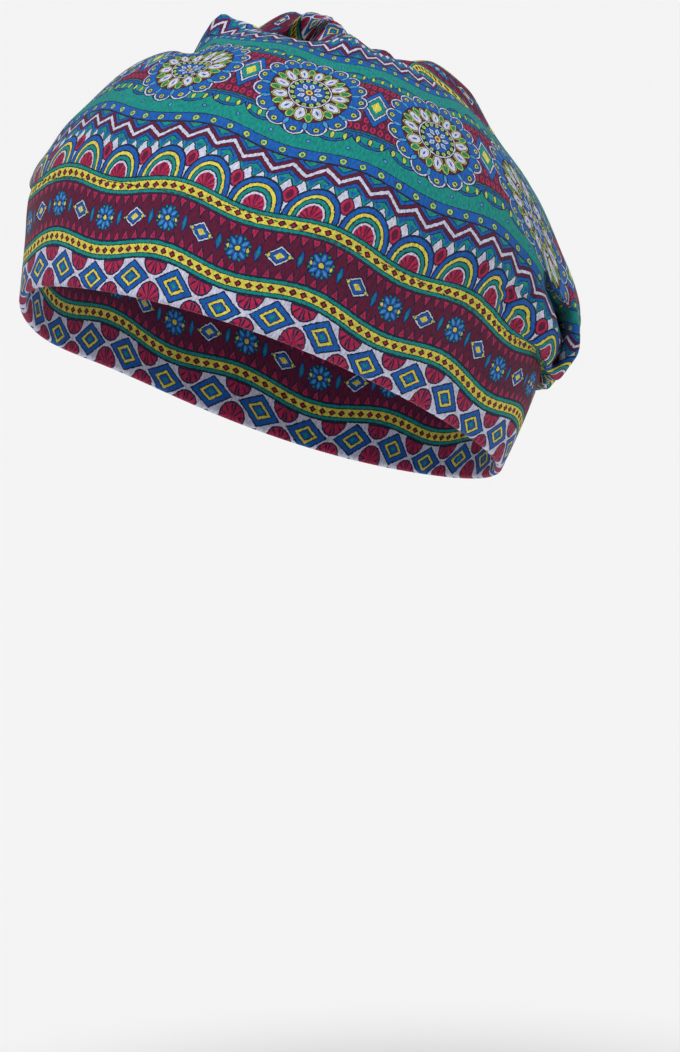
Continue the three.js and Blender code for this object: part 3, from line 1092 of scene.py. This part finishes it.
def rosette_rim(ground, radius, angle):
    """Blue scallops with round eyes and short rays."""
    side, out = wedge(radius, angle, 16)
    scallops = greater(disc(side, out - ROSETTE_RIM, radius=4.6), ROSETTE_RIM - radius)
    ground = print_motif(ground, scallops, [(0, NAVY), (0.5, LAVENDER), (1.1, NAVY), (1.5, BLUE)])
    eyes = disc(side, out - RIM_EYES, radius=1.5)
    ground = print_motif(ground, eyes, [(0, NAVY), (0.35, LIME), (0.95, WINE)])
    side, out = wedge(radius, angle, 16, math.pi / 16)
    rays = leaf(side, out - RIM_RAYS, half_width=1.1, half_length=2.8)
    return print_motif(ground, rays, [(0, NAVY), (0.35, SKY)])


def rosette_petals(ground, radius, angle):
    """A ring of pale petals with lime edges, and green leaves behind them."""
    ground = print_motif(ground, WINE_RING - radius, [(0, NAVY), (0.5, WINE)])
    side, out = wedge(radius, angle, 12, math.pi / 12)
    leaves = leaf(side, out - LEAF_RING, half_width=1.9, half_length=3)
    ground = print_motif(ground, leaves, [(0, NAVY), (0.35, LIME), (0.8, GREEN)])
    side, out = wedge(radius, angle, 12)
    petals = leaf(side, out - PETAL_RING, half_width=2.75, half_length=4.6)
    inks = [(0, NAVY), (0.25, LIME), (0.6, NAVY), (0.9, LAVENDER), (2.3, BLUE)]
    return print_motif(ground, petals, inks)


def rosette_middle(ground, radius, angle):
    """A studded ring and a star of lozenges round a yellow eye."""
    inks = [(0, NAVY), (0.4, LAVENDER), (0.9, NAVY), (3.1, BLUE)]
    ground = print_motif(ground, NAVY_RING - radius, inks)
    side, out = wedge(radius, angle, 16)
    ground = print_motif(ground, disc(side, out - STUD_RING, radius=0.9), [(0, LIME), (0.5, TEAL)])
    side, out = wedge(radius, angle, 8)
    star = lozenge(side, out - STAR_RING, half_width=1.5, half_height=2.6)
    ground = print_motif(ground, star, [(0, NAVY), (0.3, LAVENDER), (0.75, SKY)])
    return print_motif(ground, ROSETTE_EYE - radius, [(0, NAVY), (0.4, YELLOW), (1.1, CRIMSON)])


def rosettes(ground):
    """The row of rosettes, on their ground."""
    ground = petal_ground(ground)
    across = from_nearest(round_mm, REPEAT) * (DRAWN_IN / ROSETTE_SCALE)
    along = (up_mm - ROSETTE_HEIGHT) * (1 / ROSETTE_SCALE)
    radius = length(across, along)
    angle = reckon("ARCTAN2", across, along)
    for ring in (rosette_rim, rosette_petals, rosette_middle):
        ground = ring(ground, radius, angle)
    return ground


print_ink = rosettes(print_ink)
print("rosettes:", len(chart.nodes), "nodes in all")

# %% [markdown]
# ## Knit and yarn
#
# Jersey is a fine knit: close upright ribs, each a column of small loops. Ink takes unevenly on its
# spun yarn, in short upright streaks. Loops could be modelled one by one, but they are far smaller
# than the print, so they are bump, and painted shade that darkens the colour a little between the
# ribs. Both follow the cloth, so the chart gives them out beside the ink.

# %% Knit and yarn
RIB_PITCH, LOOP_PITCH = 0.75, 0.6
RIB_SHARE, LOOP_SHARE = 0.7, 0.3
LOOP_SLANT = 0.8
STREAK_WIDTH, STREAK_LENGTH = 0.8, 2.2


def knit_height():
    """Height of the knit: upright ribs of small slanted loops, from nought to one."""
    rib = from_nearest(cloth_round * (1 / MM), RIB_PITCH)
    loop = from_nearest(cloth_up * (1 / MM) + rib * LOOP_SLANT, LOOP_PITCH)
    return rib * (2 * RIB_SHARE / RIB_PITCH) + loop * (2 * LOOP_SHARE / LOOP_PITCH)


chart_gives = [
    ("Ink", "NodeSocketColor", print_ink.socket),
    ("Knit", "NodeSocketFloat", knit_height().socket),
    ("Streaks", "NodeSocketFloat", yarn_noise(STREAK_WIDTH, STREAK_LENGTH, detail=2).outputs["Fac"]),
]
chart_output = chart.nodes.new("NodeGroupOutput")
for name, kind, socket in chart_gives:
    chart.interface.new_socket(name, in_out="OUTPUT", socket_type=kind)
    chart.links.new(socket, chart_output.inputs[name])
print("the chart gives out", [name for name, kind, socket in chart_gives])

# %% [markdown]
# ## Jersey
#
# The cloth is matt, with the ink in the knit and not on top of it. A cloth shader with loose fibres
# would be slow, and one rough Principled shader with little gloss and a trace of sheen does for it.
# The colour is darkened a little between the ribs as painted shade, and it changes with the streaks
# and a little over the whole cloth. The wrong side, seen inside the crown, shows the print faintly
# through pale loops, so it mixes the same chart towards a pale ground.

# %% Jersey
BROAD_SHADE, RIB_PAINTED_SHADE, STREAK_SHADE = (0.84, 0.96), (0.92, 1.05), (0.67, 1.17)
PATTERN_RANGE = (0.25, 0.75)
BROAD_SCALE, BROAD_DETAIL = 60, 3
RIB_BUMP, RIB_DEPTH = 0.35, 0.12 * MM
WRONG_SIDE_PALENESS = 0.62


def new_material(name):
    """A material and its shader."""
    material = bpy.data.materials.new(name)
    material.use_nodes = True
    return material, material.node_tree.nodes["Principled BSDF"]


def add_bump(tree, height, strength, distance):
    """Lets a height tilt the light on a finish."""
    bump = tree.nodes.new("ShaderNodeBump")
    bump.inputs["Strength"].default_value = strength
    bump.inputs["Distance"].default_value = distance
    tree.links.new(height, bump.inputs["Height"])
    tree.links.new(bump.outputs[0], tree.nodes["Principled BSDF"].inputs["Normal"])


def shaded(tree, colour, pattern, limits):
    """A colour made darker and lighter by a pattern, between two limits."""
    shade = tree.nodes.new("ShaderNodeMapRange")
    for name, value in zip(("From Min", "From Max", "To Min", "To Max"), (*PATTERN_RANGE, *limits)):
        shade.inputs[name].default_value = value
    tree.links.new(pattern, shade.inputs["Value"])
    tone = tree.nodes.new("ShaderNodeVectorMath")
    tone.operation = "SCALE"
    tree.links.new(colour, tone.inputs[0])
    tree.links.new(shade.outputs[0], tone.inputs["Scale"])
    return tone.outputs[0]


def jersey(name, paleness):
    """Printed jersey, with its ink more or less hidden by pale loops."""
    material, shader = new_material(name)
    tree = material.node_tree
    printed = tree.nodes.new("ShaderNodeGroup")
    printed.node_tree = chart
    faded = tree.nodes.new("ShaderNodeMix")
    faded.data_type = "RGBA"
    faded.inputs[0].default_value = paleness
    faded.inputs[MIX_OVER].default_value = LAVENDER
    tree.links.new(printed.outputs["Ink"], faded.inputs[MIX_UNDER])

    coordinates = tree.nodes.new("ShaderNodeTexCoord")
    broad = tree.nodes.new("ShaderNodeTexNoise")
    broad.inputs["Scale"].default_value = BROAD_SCALE
    broad.inputs["Detail"].default_value = BROAD_DETAIL
    tree.links.new(coordinates.outputs["Object"], broad.inputs["Vector"])
    tone = shaded(tree, faded.outputs[MIX_RESULT], broad.outputs["Fac"], BROAD_SHADE)
    # Painted shade: the colour is darker in the low places of the knit, between the ribs, and lighter on
    # them.
    tone = shaded(tree, tone, printed.outputs["Knit"], RIB_PAINTED_SHADE)
    tone = shaded(tree, tone, printed.outputs["Streaks"], STREAK_SHADE)
    tree.links.new(tone, shader.inputs["Base Color"])

    add_bump(tree, printed.outputs["Knit"], RIB_BUMP, RIB_DEPTH)
    shader.inputs["Roughness"].default_value = 0.85
    shader.inputs["Specular IOR Level"].default_value = 0.15
    shader.inputs["Sheen Weight"].default_value = 0.05
    shader.inputs["Sheen Roughness"].default_value = 0.5
    return material


right_side = jersey("printed jersey", 0.0)
wrong_side = jersey("wrong side of the jersey", WRONG_SIDE_PALENESS)
for cloth in (crown, turned_hem):
    cloth.data.materials.append(right_side)
    cloth.data.materials.append(wrong_side)
print("jersey on", crown.name, "and", turned_hem.name)

# %% [markdown]
# ## Thread
#
# Spun polyester thread is dark and a little glossy, with a twist too fine to model. A wave across the
# thread gives the twist, as bump and as painted shade that darkens the colour in its grooves.

# %% Thread
THREAD_TWIST = 0.45 * MM
WAVE_RATE = 20
TWIST_BUMP, TWIST_DEPTH = 0.4, 0.05 * MM
THREAD_PAINTED_SHADE, THREAD_PAINTED_LIGHT = ink("1d1b2e")[:3], ink("34304a")[:3]


def thread():
    """Dark twisted sewing thread."""
    material, shader = new_material("dark sewing thread")
    tree = material.node_tree
    coordinates = tree.nodes.new("ShaderNodeTexCoord")
    twist = tree.nodes.new("ShaderNodeTexWave")
    twist.bands_direction = "DIAGONAL"
    twist.inputs["Scale"].default_value = 1 / THREAD_TWIST / WAVE_RATE
    tree.links.new(coordinates.outputs["Object"], twist.inputs["Vector"])
    # Painted shade: the thread's colour is darker in the grooves of the twist and lighter on its ridges,
    # where the bump is high.
    colour = tree.nodes.new("ShaderNodeMapRange")
    colour.data_type = "FLOAT_VECTOR"
    colour.inputs["To Min"].default_value = THREAD_PAINTED_SHADE
    colour.inputs["To Max"].default_value = THREAD_PAINTED_LIGHT
    tree.links.new(twist.outputs["Color"], colour.inputs["Vector"])
    tree.links.new(colour.outputs["Vector"], shader.inputs["Base Color"])
    add_bump(tree, twist.outputs["Fac"], TWIST_BUMP, TWIST_DEPTH)
    shader.inputs["Roughness"].default_value = 0.5
    return material


stitches.data.materials.append(thread())
print("thread on", stitches.name)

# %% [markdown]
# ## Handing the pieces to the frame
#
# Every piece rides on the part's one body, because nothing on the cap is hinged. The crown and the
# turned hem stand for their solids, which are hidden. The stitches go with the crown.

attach(crown, "root")
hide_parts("crown")
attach(turned_hem, "root")
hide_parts("hem_facing")
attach(stitches, "root")
print("pieces ride on the root body")

# %% [markdown]
# ## Floor and light
#
# The cap is held up at its hem, so the floor lies well below it, plain and pale. A large soft far
# light shines from the front and above, a weak one from the side, and the world gives an even white.
# Area lights close by would do too, but far ones light every side of the cap in the same way.

# %% Floor and light
FLOOR_LEVEL = -0.3
FLOOR_SIZE = 12
FLOOR_WHITE = 0.82
WORLD_STRENGTH = 0.35


def make_floor():
    """A plain pale floor."""
    bm = bmesh.new()
    bmesh.ops.create_grid(bm, x_segments=1, y_segments=1, size=FLOOR_SIZE / 2)
    bmesh.ops.translate(bm, verts=bm.verts, vec=(0, 0, FLOOR_LEVEL))
    floor = smooth_object("floor", bm)
    material, shader = new_material("pale floor")
    shader.inputs["Base Color"].default_value = (FLOOR_WHITE, FLOOR_WHITE, FLOOR_WHITE, 1)
    shader.inputs["Roughness"].default_value = 0.7
    floor.data.materials.append(material)


def soft_sun(name, azimuth, elevation, spread, strength):
    """A broad far light that shines on the cap from a place round it."""
    data = bpy.data.lights.new(name, "SUN")
    data.energy = strength
    data.angle = math.radians(spread)
    look_along(add_object(name, data), -way_to(azimuth, elevation))


make_floor()
soft_sun("key light", azimuth=24, elevation=70, spread=30, strength=2.6)
soft_sun("fill light", azimuth=90, elevation=30, spread=60, strength=0.15)
world = bpy.data.worlds.new("studio white")
world.use_nodes = True
background = world.node_tree.nodes["Background"]
background.inputs["Color"].default_value = (1, 1, 1, 1)
background.inputs["Strength"].default_value = WORLD_STRENGTH
bpy.context.scene.world = world
bpy.context.scene.view_settings.view_transform = "Standard"
print("floor at", FLOOR_LEVEL)
